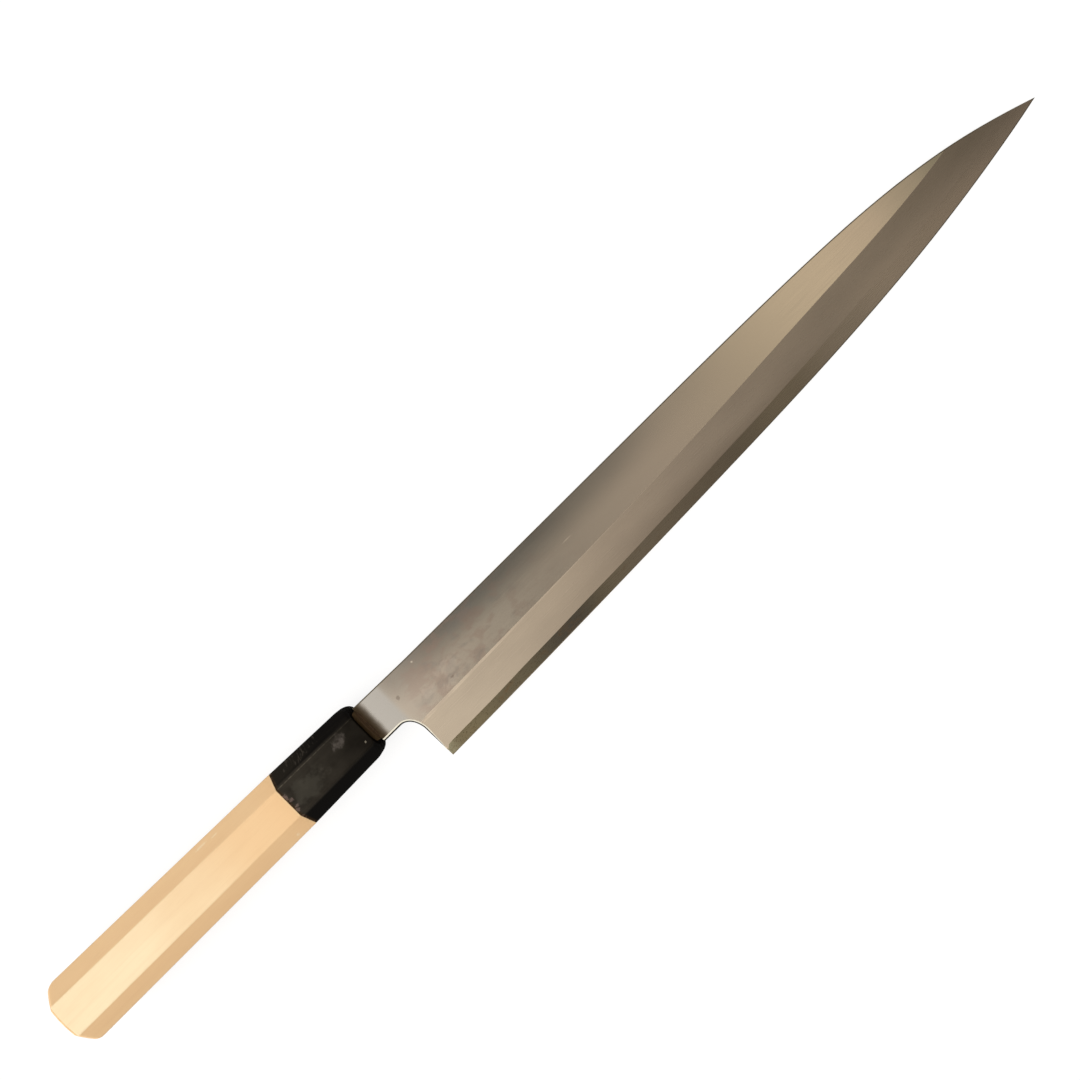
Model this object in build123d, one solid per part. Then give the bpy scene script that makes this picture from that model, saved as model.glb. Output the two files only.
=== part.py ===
from build123d import *
import math
import os

# Yanagiba slicing knife, right-handed, with a forge-welded single-bevel blade
# and a magnolia handle with a horn ferrule. It lies on its flat back with the
# bevelled front face up: +X runs from the handle to the tip, +Y from the edge
# to the spine and +Z out of the front face. While it is built, x is 0 at the
# ferrule's front face, y is 0 on the handle's axis and z is 0 at mid thickness.

# Blade outline
blade_length = 298.3
heel_height = 34.85
spine_rise = 6.15
neck_length = 12.8
neck_height = 15.1
neck_flare = 0.45
neck_flare_length = 24.0
choil_radius = 5.8
edge_heel_angle = 0.6
edge_tip_angle = 12.5
spine_tip_angle = 17.5

# Blade thickness: back_depth is how far the flat back lies below mid thickness
spine_thickness = 4.0
tip_thickness = 2.1
front_face_fall = 0.35
back_depth = 2.0
edge_land = 0.12
cutting_steel_thickness = 0.8
weld_start = 7.0

# Stations along the blade as shares of its length from the heel. At each one
# the edge and the ridge rise from the heel's level, and the spine drops from
# its straight part, by these shares of the heel height.
station_shares = (0.0, 0.2, 0.43, 0.65, 0.82, 0.92, 1.0)
edge_rise_shares = (0.0, 0.028, 0.08, 0.158, 0.29, 0.417, 0.548)
ridge_rise_shares = (0.442, 0.478, 0.538, 0.637, 0.737, 0.86, 0.99)
spine_drop_shares = (0.0, 0.0, 0.0, 0.0175, 0.107, 0.258, 0.452)

# Hollow ground into the back, inside a flat rim
hollow_radius = 205.0
hollow_rim = 3.4
hollow_start = 5.0
hollow_runout = 24.0
hollow_runout_share = 0.35

# Tang, and the slot that it is fitted into
tang_length = 104.0
tang_root_height = 12.0
tang_root_thickness = 3.4
tang_end_height = 5.2
tang_end_thickness = 2.0
tang_lap = 3.0
tang_clearance = 0.1
slot_end_room = 3.0

# Handle, with its half widths to the spine side and to the edge side
handle_length = 139.8
ferrule_length = 34.8
butt_spine_side = 12.75
butt_edge_side = 12.3
joint_spine_side = 10.65
joint_edge_side = 12.0
front_spine_side = 9.5
front_edge_side = 11.15
butt_thickness = 21.5
front_thickness = 19.4
butt_bevel = 6.1
joint_bevel = 5.65
front_bevel = 4.85
butt_dome_radius = 46.0
butt_round = 3.0
front_corner_round = 3.6
front_rim_round = 1.4

# Tenon of the handle, glued through the ferrule
tenon_front_radius = 6.4
tenon_back_radius = 8.0
glue_gap = 0.03

# Seal round the tang at the mouth of its slot
seal_height = 12.4
seal_width = 5.6
seal_corner = 1.5
seal_lip_fall = 0.5
seal_depth = 3.0
seal_proud = 0.7

# How far each cutting shape runs past what it cuts
overrun = 2.0

# Places worked out from the sizes above
back_z = -back_depth
spine_y = spine_rise
heel_y = spine_rise - heel_height
neck_belly_y = spine_rise - neck_height
heel_x = neck_length
tip_x = neck_length + blade_length
butt_x = -handle_length
joint_x = -ferrule_length
butt_axis_y = (butt_spine_side - butt_edge_side) / 2
joint_axis_y = (joint_spine_side - joint_edge_side) / 2
mouth_axis_y = (front_spine_side - front_edge_side) / 2
joint_thickness = front_thickness + (butt_thickness - front_thickness) * ferrule_length / handle_length


def direction(angle):
    """Unit direction at an angle to the spine's straight part."""
    return (math.cos(math.radians(angle)), math.sin(math.radians(angle)))


def between(start, end, share):
    return start + (end - start) * share


def front_face_z(x, y):
    """Height of the flat front face, which thins to the tip and to the edge."""
    thickness = between(spine_thickness, tip_thickness, x / tip_x)
    return back_z + thickness - front_face_fall * (spine_y - y) / heel_height


def section(x, points):
    """Corners of an outline square to the knife's length, from its (y, z) points."""
    return [(x, y, z) for y, z in points]


def flat_sided(start, end):
    """Solid with flat sides between two outlines of as many corners."""
    pairs = list(zip(start, end))
    outlines = [start, end]
    for (near, far), (next_near, next_far) in zip(pairs, pairs[1:] + pairs[:1]):
        outlines.append([near, next_near, next_far, far])
    return Solid(Shell([make_face(Polyline(*outline, close=True)) for outline in outlines]))


def block(low, high):
    """Square block between two opposite corners."""
    size = [top - bottom for bottom, top in zip(low, high)]
    return Pos(*low) * Box(*size, align=(Align.MIN, Align.MIN, Align.MIN))


def stations():
    """Place along the knife and edge, ridge and spine levels, heel to tip."""
    shares = zip(station_shares, edge_rise_shares, ridge_rise_shares, spine_drop_shares)
    return [
        (
            heel_x + along * blade_length,
            heel_y + edge * heel_height,
            heel_y + ridge * heel_height,
            spine_y - drop * heel_height,
        )
        for along, edge, ridge, drop in shares
    ]


def blade_outline():
    """Front view of neck and blade, with the choil between neck and heel."""
    straight_end = max(x for x, edge, ridge, spine in stations() if spine == spine_y)
    curved = [(x, spine) for x, edge, ridge, spine in stations() if x > straight_end]
    neck_top = (0, spine_y + neck_flare)
    spine_start = (straight_end, spine_y)
    choil_start = (heel_x - choil_radius, neck_belly_y)
    choil_end = (heel_x, neck_belly_y - choil_radius)
    edge_ends = (direction(edge_heel_angle), direction(edge_tip_angle))
    spine_ends = (direction(0), direction(-spine_tip_angle))
    return make_face([
        Polyline(choil_start, (0, neck_belly_y), neck_top, (neck_flare_length, spine_y), spine_start),
        Spline(spine_start, *curved, tangents=spine_ends),
        Spline(*[(x, edge) for x, edge, ridge, spine in stations()], tangents=edge_ends),
        Line((heel_x, heel_y), choil_end),
        TangentArc(choil_start, choil_end, tangent=direction(0)),
    ])


def forged_taper():
    """Block whose top is the flat front face, thinning to the tip."""
    low_y = heel_y - overrun
    high_y = spine_y + neck_flare + overrun
    ends = [
        section(x, [
            (low_y, back_z),
            (high_y, back_z),
            (high_y, front_face_z(x, high_y)),
            (low_y, front_face_z(x, low_y)),
        ])
        for x in (-overrun, tip_x + overrun)
    ]
    return flat_sided(*ends)


def run_on(places, step):
    """Stations with one more past each end of the blade, on the line of the last two."""
    def past(end, inner):
        share = step / abs(end[0] - inner[0])
        return tuple(between(last, before, -share) for last, before in zip(end, inner))
    return [past(places[0], places[1])] + places + [past(places[-1], places[-2])]


def bevel_waste():
    """Steel ground away above the wide bevel, from the ridge down to the edge."""
    edge_z = back_z + edge_land
    outer, inner = [], []
    for x, edge, ridge, spine in run_on(stations(), overrun):
        pitch = (front_face_z(x, ridge) - edge_z) / (ridge - edge)
        high_y = spine_y + overrun
        outer.append((x, edge - overrun, edge_z - pitch * overrun))
        inner.append((x, high_y, edge_z + pitch * (high_y - edge)))
    bevel = Face.make_surface_from_curves(Spline(*outer).edge(), Spline(*inner).edge())
    return extrude(bevel, spine_thickness + overrun, dir=(0, 0, 1))


def wheel_slice(x, low_y, high_y):
    """Slice of the hollow's grinding wheel, level with the back at two places."""
    middle_y = (low_y + high_y) / 2
    half = (high_y - low_y) / 2
    depth = hollow_radius - math.sqrt(hollow_radius ** 2 - half ** 2)
    reach = math.sqrt(hollow_radius ** 2 - (hollow_radius - depth - overrun) ** 2)
    ends = [(middle_y - reach, back_z - overrun), (middle_y + reach, back_z - overrun)]
    arc = ThreePointArc(ends[0], (middle_y, back_z + depth), ends[1])
    return Plane.YZ.offset(x) * make_face([arc, Line(*ends)])


def back_hollow():
    """Long shallow hollow of the back, with a flat rim left all round it."""
    places = stations()
    edge_side = places[0][1] + hollow_rim
    spine_side = places[0][3] - hollow_rim
    middle = (edge_side + spine_side) / 2
    start_x = heel_x + hollow_start
    slices = [
        wheel_slice(
            start_x,
            between(middle, edge_side, hollow_runout_share),
            between(middle, spine_side, hollow_runout_share),
        ),
        wheel_slice(start_x + hollow_runout, edge_side, spine_side),
    ]
    for x, edge, ridge, spine in places[1:-1]:
        slices.append(wheel_slice(x, edge + hollow_rim, spine - hollow_rim))
    return loft(slices)


def ground_blade():
    """Neck and blade in one, ground to shape on both faces."""
    plate = Pos(0, 0, back_z) * extrude(blade_outline(), spine_thickness + overrun)
    return (plate & forged_taper()) - bevel_waste() - back_hollow()


def steel_layer_space():
    """Space along the back of the blade that the hard steel layer fills."""
    low = (weld_start, heel_y - overrun, back_z - overrun)
    high = (tip_x + overrun, spine_y + neck_flare + overrun, back_z + cutting_steel_thickness)
    return block(low, high)


def tang_shape(start_x, end_x, clearance):
    """Tapered bar of the tang, or with a clearance the slot that it fits."""
    ends = []
    for x in (start_x, end_x):
        share = -x / tang_length
        axis_y = between(mouth_axis_y, butt_axis_y, -x / handle_length)
        side = between(tang_root_height, tang_end_height, share) / 2 + clearance
        top = between(tang_root_thickness, tang_end_thickness, share) / 2 + clearance
        ends.append(section(x, [
            (axis_y - side, -top),
            (axis_y + side, -top),
            (axis_y + side, top),
            (axis_y - side, top),
        ]))
    return flat_sided(*ends)


def octagon(x, spine_side, edge_side, thickness, bevel):
    """Outline across the handle: a rectangle with its corners cut at 45 degrees."""
    top = thickness / 2
    return section(x, [
        (spine_side, top - bevel),
        (spine_side - bevel, top),
        (bevel - edge_side, top),
        (-edge_side, top - bevel),
        (-edge_side, bevel - top),
        (bevel - edge_side, -top),
        (spine_side - bevel, -top),
        (spine_side, bevel - top),
    ])


def joint_octagon():
    return octagon(joint_x, joint_spine_side, joint_edge_side, joint_thickness, joint_bevel)


def turned_butt():
    """Round body with a domed end and a rounded rim, which trims the butt."""
    rim_radius = butt_spine_side + overrun
    dome_radius = rim_radius - butt_round
    drop = butt_dome_radius - math.sqrt(butt_dome_radius ** 2 - dome_radius ** 2)
    apex = (butt_x, 0)
    dome_end = (butt_x + drop, dome_radius)
    rim_end = (butt_x + drop + butt_round, rim_radius)
    profile = make_face([
        RadiusArc(apex, dome_end, butt_dome_radius),
        RadiusArc(dome_end, rim_end, butt_round),
        Polyline(rim_end, (joint_x, rim_radius), (joint_x, 0), apex),
    ])
    return Pos(0, butt_axis_y, 0) * revolve(profile, Axis.X)


def front_rounding(plane, corners, radius):
    """Ferrule's outline in one view with its two front corners rounded, run through."""
    outline = plane * make_face(Polyline(*corners, close=True))
    front_corners = outline.vertices().group_by(Axis.X)[-1]
    return extrude(fillet(front_corners, radius), butt_thickness, both=True)


def tenon_shape(clearance):
    """Tapered round peg on the front of the wood, or with a clearance its bore."""
    back = Plane.YZ.offset(joint_x) * Pos(joint_axis_y, 0) * Circle(tenon_back_radius + clearance)
    front = Plane.YZ * Pos(mouth_axis_y, 0) * Circle(tenon_front_radius + clearance)
    return loft([back, front], ruled=True)


def seal_outline(x, growth):
    """Rounded oblong of the seal in the tenon's end, square to the knife's length."""
    oblong = RectangleRounded(seal_height + growth, seal_width + growth, seal_corner)
    return Plane.YZ.offset(x) * Pos(mouth_axis_y, 0) * oblong


def seal_plug(clearance):
    """Plug in the tenon's mouth, or with a clearance the seat that holds it."""
    return extrude(seal_outline(0, clearance + clearance), -seal_depth - clearance)


def seal_lip():
    """Low lip of the seal that climbs both faces of the neck."""
    return loft([seal_outline(0, 0), seal_outline(seal_proud, -seal_lip_fall - seal_lip_fall)])


def blade_iron_body(blade, tang):
    """Soft iron that backs the hard layer and runs on as neck and tang."""
    return blade - steel_layer_space() + tang


def blade_cutting_steel(blade):
    """Hard steel layer welded along the back, which carries the cutting edge."""
    return blade & steel_layer_space()


def horn_ferrule():
    """Octagonal horn collar bored for the tenon, its front edges rounded over."""
    front = octagon(0, front_spine_side, front_edge_side, front_thickness, front_bevel)
    side_corners = [
        (joint_x, joint_spine_side),
        (0, front_spine_side),
        (0, -front_edge_side),
        (joint_x, -joint_edge_side),
    ]
    top_corners = [
        (joint_x, joint_thickness / 2),
        (0, front_thickness / 2),
        (0, -front_thickness / 2),
        (joint_x, -joint_thickness / 2),
    ]
    collar = flat_sided(joint_octagon(), front)
    collar &= front_rounding(Plane.XY, side_corners, front_corner_round)
    collar &= front_rounding(Plane.XZ, top_corners, front_rim_round)
    return collar - tenon_shape(glue_gap)


def magnolia_handle():
    """Octagonal wooden grip in one piece with its tenon, slotted for the tang."""
    butt = octagon(butt_x, butt_spine_side, butt_edge_side, butt_thickness, butt_bevel)
    grip = flat_sided(butt, joint_octagon()) & turned_butt()
    slot = tang_shape(overrun, -tang_length - slot_end_room, tang_clearance)
    return grip + tenon_shape(0) - slot - seal_plug(glue_gap)


def tang_seal(blade, tang):
    """Dark resin poured round the tang where it leaves the tenon."""
    return seal_plug(0) + seal_lip() - blade - tang


blade = ground_blade()
tang = tang_shape(tang_lap, -tang_length, 0)
pieces = {
    "blade_iron_body": blade_iron_body(blade, tang),
    "blade_cutting_steel": blade_cutting_steel(blade),
    "horn_ferrule": horn_ferrule(),
    "magnolia_handle": magnolia_handle(),
    "tang_seal": tang_seal(blade, tang),
}

# The knife's origin is the middle of its box, on the surface that it lies on.
boxes = [piece.bounding_box() for piece in pieces.values()]
low = [min(getattr(box.min, axis) for box in boxes) for axis in "XYZ"]
high = [max(getattr(box.max, axis) for box in boxes) for axis in "XYZ"]
to_origin = Pos(-(low[0] + high[0]) / 2, -(low[1] + high[1]) / 2, -low[2])

os.makedirs("parts", exist_ok=True)
for name, piece in pieces.items():
    export_step(to_origin * piece, f"parts/{name}.step")
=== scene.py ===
import math

import bmesh
import bpy
import numpy as np
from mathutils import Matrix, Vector
from mathutils.geometry import delaunay_2d_cdt


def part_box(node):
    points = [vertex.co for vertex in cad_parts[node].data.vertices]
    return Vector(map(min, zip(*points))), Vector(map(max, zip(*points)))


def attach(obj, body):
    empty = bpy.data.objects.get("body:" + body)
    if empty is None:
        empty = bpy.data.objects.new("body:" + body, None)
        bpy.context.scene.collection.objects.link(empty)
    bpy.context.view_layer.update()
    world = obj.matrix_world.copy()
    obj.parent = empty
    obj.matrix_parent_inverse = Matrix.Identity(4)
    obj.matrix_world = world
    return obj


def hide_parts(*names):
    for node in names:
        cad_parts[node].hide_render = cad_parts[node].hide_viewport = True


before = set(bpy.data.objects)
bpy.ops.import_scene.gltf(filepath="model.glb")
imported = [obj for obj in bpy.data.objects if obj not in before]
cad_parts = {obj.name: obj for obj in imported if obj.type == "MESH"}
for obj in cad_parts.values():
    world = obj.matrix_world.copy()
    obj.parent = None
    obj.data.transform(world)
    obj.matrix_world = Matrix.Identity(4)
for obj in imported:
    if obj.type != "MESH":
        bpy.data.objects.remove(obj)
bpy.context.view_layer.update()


# Outline of the blade. The smith welds two layers into one bar, draws out neck and
# tang, and grinds the bar to this outline: straight spine, long easy edge, and a ridge
# between flat front face and wide bevel. Sizes are millimetres from the ferrule's mouth.
MM = 0.001
blade_length = 298.7
heel_height = 34.85
spine_rise = 6.15
neck_length = 12.4
neck_height = 15.1
neck_flare = 0.45
neck_flare_length = 24.0
choil_length = 5.0
choil_drop = 6.8
edge_heel_slope = math.tan(math.radians(0.6))
edge_tip_slope = math.tan(math.radians(12.5))
spine_tip_slope = -math.tan(math.radians(17.5))
spine_thickness = 4.0
tip_thickness = 2.1
front_face_fall = 0.35
back_depth = 2.0
edge_land = 0.12
station_shares = (0.0, 0.2, 0.43, 0.65, 0.82, 0.92, 1.0)
edge_rise_shares = (0.0, 0.028, 0.08, 0.158, 0.29, 0.417, 0.548)
ridge_rise_shares = (0.442, 0.478, 0.538, 0.637, 0.737, 0.86, 0.99)
spine_drop_shares = (0.0, 0.0, 0.0, 0.0175, 0.107, 0.258, 0.452)
straight_spine_stations = 3
outline_step = 1.5
neck_steps = 5
choil_steps = 24
heel_steps = 26
fill_tolerance = 1e-5
weld_distance = 0.0005

back_z = -back_depth
spine_y = spine_rise
heel_y = spine_rise - heel_height
neck_belly_y = spine_rise - neck_height
heel_x = neck_length
tip_x = neck_length + blade_length
choil_start_x = heel_x - choil_length
choil_centre_y = neck_belly_y - choil_drop
knife_origin = Vector((
    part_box("horn_ferrule")[1].x,
    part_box("blade_cutting_steel")[0].y - heel_y * MM,
    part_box("magnolia_handle")[1].z / 2,
))


def placed(x, y, z):
    """Place in the scene of a point given in millimetres from the ferrule's mouth."""
    return knife_origin + Vector((x, y, z)) * MM


def between(start, end, share):
    return start + (end - start) * share


def fair_line(places, levels, start_slope, end_slope):
    """Smooth line through points, with a slope at each end, as a level for each place."""
    gaps = np.diff(places)
    rises = np.diff(levels) / gaps
    pull = np.eye(len(places))
    known = np.array([start_slope] + [0.0] * (len(gaps) - 1) + [end_slope])
    for i in range(1, len(gaps)):
        pull[i, i - 1:i + 2] = (1 / gaps[i - 1], 2 / gaps[i - 1] + 2 / gaps[i], 1 / gaps[i])
        known[i] = 3 * (rises[i - 1] / gaps[i - 1] + rises[i] / gaps[i])
    slopes = np.linalg.solve(pull, known)

    def level(x):
        i = min(max(int(np.searchsorted(places, x)) - 1, 0), len(gaps) - 1)
        share = (x - places[i]) / gaps[i]
        back = 1 - share
        sloped = gaps[i] * share * back * (slopes[i] * back - slopes[i + 1] * share)
        first = levels[i] * back * back * (1 + 2 * share)
        second = levels[i + 1] * share * share * (3 - 2 * share)
        return float(first + second + sloped)

    return level


station_x = [heel_x + share * blade_length for share in station_shares]
ridge_levels = [heel_y + share * heel_height for share in ridge_rise_shares]
spine_levels = [spine_y - share * heel_height for share in spine_drop_shares]
ridge_slopes = np.diff(ridge_levels) / np.diff(station_x)
edge_y = fair_line(
    station_x, [heel_y + share * heel_height for share in edge_rise_shares], edge_heel_slope, edge_tip_slope
)
ridge_y = fair_line(station_x, ridge_levels, ridge_slopes[0], ridge_slopes[-1])
curve_start = straight_spine_stations - 1
curved_spine_y = fair_line(station_x[curve_start:], spine_levels[curve_start:], 0.0, spine_tip_slope)


def top_y(x):
    """Level of the spine, which flares a little at the neck and curves down to the tip."""
    if x < station_x[curve_start]:
        return spine_y + neck_flare * max(0.0, 1 - x / neck_flare_length)
    return curved_spine_y(x)


def flat_z(x, y):
    """Height of the flat front face, which thins to the tip and to the edge."""
    thickness = between(spine_thickness, tip_thickness, x / tip_x)
    return back_z + thickness - front_face_fall * (spine_y - y) / heel_height


def bevel_pitch(x):
    """Slope of the wide bevel, from the edge up to the ridge."""
    rise = flat_z(x, ridge_y(x)) - back_z - edge_land
    return rise / (ridge_y(x) - edge_y(x))


def front_z(x, y):
    """Height of the ground front: the flat face above the ridge, the bevel below it."""
    bevel = back_z + edge_land + bevel_pitch(x) * (y - edge_y(x))
    return min(flat_z(x, y), bevel)


def outline_points():
    """Outline of neck and blade as (x, y, side): belly, choil, heel, edge, then spine."""
    neck_x = np.linspace(0, choil_start_x, neck_steps + 1)
    points = [(x, neck_belly_y, "choil") for x in neck_x]
    for turn in np.linspace(0, math.pi / 2, choil_steps + 1)[1:]:
        x = choil_start_x + choil_length * math.sin(turn)
        points.append((x, choil_centre_y + choil_drop * math.cos(turn), "choil"))
    heel_levels = np.linspace(choil_centre_y, heel_y, heel_steps + 1)
    points += [(heel_x, y, "heel") for y in heel_levels[1:]]
    blade_x = np.linspace(heel_x, tip_x, round(blade_length / outline_step) + 1)
    points += [(x, edge_y(x), "edge") for x in blade_x[1:]]
    choil_x = np.linspace(choil_start_x, heel_x, neck_steps + 1)
    spine_x = [*blade_x[-2::-1], *choil_x[-2::-1], *neck_x[-2::-1]]
    return points + [(x, top_y(x), "spine") for x in spine_x]


outline = outline_points()
outline_xy = np.array([(x, y) for x, y, side in outline])
outward = np.roll(outline_xy, -1, axis=0) - np.roll(outline_xy, 1, axis=0)
outward = np.column_stack([outward[:, 1], -outward[:, 0]]) / np.linalg.norm(outward, axis=1)[:, None]
outward[0] = (0, -1)
outward[-1] = (0, 1)


def filled(border, lines, height, inner=()):
    """Surface inside a border, in triangles, with its lines kept as creases."""
    points = [Vector(point) for point in border]
    edges = [(i, (i + 1) % len(points)) for i in range(len(points))]
    for line in lines:
        edges += [(len(points) + i, len(points) + i + 1) for i in range(len(line) - 1)]
        points += [Vector(point) for point in line]
    points += [Vector(point) for point in inner]
    corners, _, faces = delaunay_2d_cdt(points, edges, [], 1, fill_tolerance)[:3]
    return [[(*corners[i], height(*corners[i])) for i in face] for face in faces]


def strips(rows, closed=False):
    """Four-cornered faces between each row of points and the next."""
    faces = []
    for near, far in zip(rows, rows[1:]):
        for i in range(len(near) if closed else len(near) - 1):
            after = (i + 1) % len(near)
            faces.append([near[i], near[after], far[after], far[i]])
    return faces


def piece_of(name, faces, finishes, crease_angle):
    """Welded mesh from (corners, finish) faces in millimetres, riding on the knife."""
    shape = bmesh.new()
    for corners, finish in faces:
        verts = [shape.verts.new(placed(*corner)) for corner in corners]
        shape.faces.new(verts).material_index = list(finishes).index(finish)
    bmesh.ops.remove_doubles(shape, verts=shape.verts, dist=weld_distance * MM)
    bmesh.ops.dissolve_degenerate(shape, edges=shape.edges, dist=weld_distance * MM)
    bmesh.ops.recalc_face_normals(shape, faces=shape.faces)
    mesh = bpy.data.meshes.new(name)
    shape.to_mesh(mesh)
    shape.free()
    mesh.shade_smooth()
    mesh.set_sharp_from_angle(angle=math.radians(crease_angle))
    for material in finishes.values():
        mesh.materials.append(material)
    piece = bpy.data.objects.new(name, mesh)
    bpy.context.scene.collection.objects.link(piece)
    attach(piece, "root")
    return piece


# Soft iron body of the blade. It backs the hard layer, carries the flat front face and
# most of the bevel, and runs on as neck and tang. The faces are ground and stoned to a
# satin, the corners of choil and spine are eased by hand and polished.
cutting_steel_thickness = 0.8
weld_start = choil_start_x
choil_ease = 1.0
spine_ease = 0.4
back_ease = 0.2
choil_profile = ((0.0, 1.3), (0.55, 0.7), (1.06, 0.02), (1.1, 0.0))
spine_profile = ((0.0, 0.6), (0.26, 0.2), (0.63, 0.04), (1.0, 0.0))
ridge_polish_width = 1.2
ridge_polish_length = 95.0
ridge_line_width = 0.06
ridge_step = 3.0
tip_ease_length = 25.0
seam_rise = 0.88
seam_rise_end = 270.0
seam_heel_drop = 0.6
seam_heel_run = 0.6
seam_waver = 0.09
seam_waver_lengths = (7.3, 17.9)
seam_tolerance = 0.01
tang_length = 104.0
tang_root_height = 12.0
tang_root_thickness = 3.4
tang_end_height = 5.2
tang_end_thickness = 2.0
tang_lap = 3.0
mouth_axis_y = -0.825
butt_axis_y = 0.225
handle_length = 139.8

weld_z = back_z + cutting_steel_thickness


def eased_rows(face_z, choil_width, spine_width, away):
    """Rows round the outline over an eased corner, from the side wall in to a face."""
    rows = []
    for choil_share, spine_share in zip(choil_profile, spine_profile):
        row = []
        for (x, y, side), out in zip(outline, outward):
            width = {
                "choil": choil_width,
                "heel": choil_width * (y - heel_y) / (choil_centre_y - heel_y),
                "edge": 0.0,
                "spine": spine_width * min(1.0, (tip_x - x) / tip_ease_length),
            }[side]
            inset, depth = spine_share if side == "spine" else choil_share
            inset_x, inset_y = (x, y) - out * width * inset
            row.append((inset_x, inset_y, face_z(inset_x, inset_y) + away * width * depth))
        rows.append(row)
    return rows


def seam_y(x):
    """Level on the bevel where the hard layer comes out from under the iron."""
    clean = edge_y(x) + (cutting_steel_thickness - edge_land) / bevel_pitch(x)
    short, long = seam_waver_lengths
    waver = seam_waver * (1 + math.sin(x / short) * math.cos(x / long + 1.0))
    rise = seam_rise * min(1.0, (tip_x - x) / (tip_x - seam_rise_end))
    return clean - waver + rise - (rise + seam_heel_drop) * math.exp((heel_x - x) / seam_heel_run)


def nearest(row, level, sides):
    """Place in a row, on one side of the outline, that lies nearest to a lengthwise line."""
    there = [i for i, point in enumerate(outline) if point[2] in sides]
    return min(there, key=lambda i: abs(row[i][1] - level(row[i][0])))


front_rows = eased_rows(front_z, choil_ease, spine_ease, -1)
back_rows = eased_rows(lambda x, y: back_z, back_ease, back_ease, 1)
front_rim = front_rows[-1]
count = len(outline)
seam_at_heel = nearest(front_rim, seam_y, ("heel",))
seam_at_spine = nearest(front_rim, seam_y, ("spine",))
weld_at_belly, weld_at_spine = [
    min((i for i in range(count) if outline[i][2] == side), key=lambda i: abs(outline[i][0] - weld_start))
    for side in ("choil", "spine")
]


def run_index(start, end):
    """Places from one round to another, the way the outline goes."""
    return [i % count for i in range(start, end + 1 if end >= start else end + 1 + count)]


def run(row, start, end):
    return [row[i] for i in run_index(start, end)]


def lengthwise(level, start, end, step):
    """Line along the blade between two points of the front's rim."""
    steps = max(2, round((end[0] - start[0]) / step))
    middle = [(x, level(x)) for x in np.linspace(start[0], end[0], steps + 1)[1:-1]]
    return [start[:2], *middle, end[:2]]


def ridge_polish(x):
    """Half width of the narrow polished facet that softens the ridge by the heel."""
    share = max(0.0, 1 - (x - heel_x) / ridge_polish_length)
    return (ridge_line_width + ridge_polish_width * share) / 2


seam = lengthwise(seam_y, front_rim[seam_at_heel], front_rim[seam_at_spine], outline_step)
ridge_lines = []
for side_of_ridge in (-1, 1):
    def polish_edge(x):
        return ridge_y(x) + side_of_ridge * ridge_polish(x)

    start = front_rim[nearest(front_rim, polish_edge, ("choil", "heel"))]
    end = front_rim[nearest(front_rim, ridge_y, ("spine",))]
    ridge_lines.append(lengthwise(polish_edge, start, end, ridge_step))


def front_finish(face):
    """Flat face, softened ridge or bevel, by where a face of the front lies."""
    x, y = np.mean([corner[:2] for corner in face], axis=0)
    if abs(y - ridge_y(x)) < ridge_polish(x):
        return "ridge"
    return "flat" if y > ridge_y(x) else "bevel"


def welded_z(x, y):
    """Height of the weld, which comes up to the front along the seam."""
    if heel_x < x and abs(y - seam_y(x)) < seam_tolerance:
        return front_z(x, y)
    return min(weld_z, front_z(x, y))


iron_faces = []
iron_rim = run(front_rim, seam_at_spine, seam_at_heel)
for face in filled([point[:2] for point in iron_rim] + seam[1:-1], ridge_lines, front_z):
    iron_faces.append((face, front_finish(face)))


def corner_faces(start, end):
    """Eased corner of the front: a painted shadow line on its steep outer strip, bright polish with a
    painted highlight inside it.
    """
    faces = []
    for side, near, far in zip(run(outline, start, end), run_index(start, end), run_index(start, end)[1:]):
        for i, (outer, inner) in enumerate(zip(front_rows, front_rows[1:])):
            # The scale finish is a painted shadow line; the polish finish is partly a painted highlight.
            finish = "spine" if side[2] == "spine" else "scale" if i == 0 else "polish"
            faces.append(([outer[near], outer[far], inner[far], inner[near]], finish))
    return faces


iron_faces += corner_faces(seam_at_spine, seam_at_heel)
for start, end in ((seam_at_spine, weld_at_spine), (weld_at_belly, seam_at_heel)):
    wall_top = run(front_rows[0], start, end)
    wall_foot = [(x, y, min(weld_z, z)) for x, y, z in wall_top]
    iron_faces += [(face, "spine") for face in strips([wall_foot, wall_top])]
neck_rows = [run(row, weld_at_spine, weld_at_belly) for row in [*back_rows[::-1], front_rows[0]]]
iron_faces += [(face, "spine") for face in strips(neck_rows)]
weld_rim = [point[:2] for point in run(outline, weld_at_belly, seam_at_heel)] + seam[1:-1]
weld_rim += [point[:2] for point in run(outline, seam_at_spine, weld_at_spine)]
weld_face = filled(weld_rim, [], welded_z)
iron_faces += [(face, "polish") for face in weld_face]
neck_back = [point[:2] for point in run(back_rows[-1], weld_at_spine, weld_at_belly)]
iron_faces += [(face, "flat") for face in filled(neck_back, [], lambda x, y: back_z)]
step_ends = [(row[weld_at_belly], row[weld_at_spine]) for row in back_rows[::-1]]
step_ends.append(tuple((*point[:2], weld_z) for point in step_ends[-1]))
iron_faces += [(face, "polish") for face in strips([list(ends) for ends in step_ends])]

tang_ends = []
for x in (tang_lap, -tang_length):
    share = -x / tang_length
    axis_y = between(mouth_axis_y, butt_axis_y, -x / handle_length)
    side = between(tang_root_height, tang_end_height, share) / 2
    top = between(tang_root_thickness, tang_end_thickness, share) / 2
    corners = ((-side, -top), (side, -top), (side, top), (-side, top))
    tang_ends.append([(x, axis_y + y, z) for y, z in corners])
tang_faces = [*strips(tang_ends, closed=True), *tang_ends]
iron_faces += [(face, "bevel") for face in tang_faces]


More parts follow.
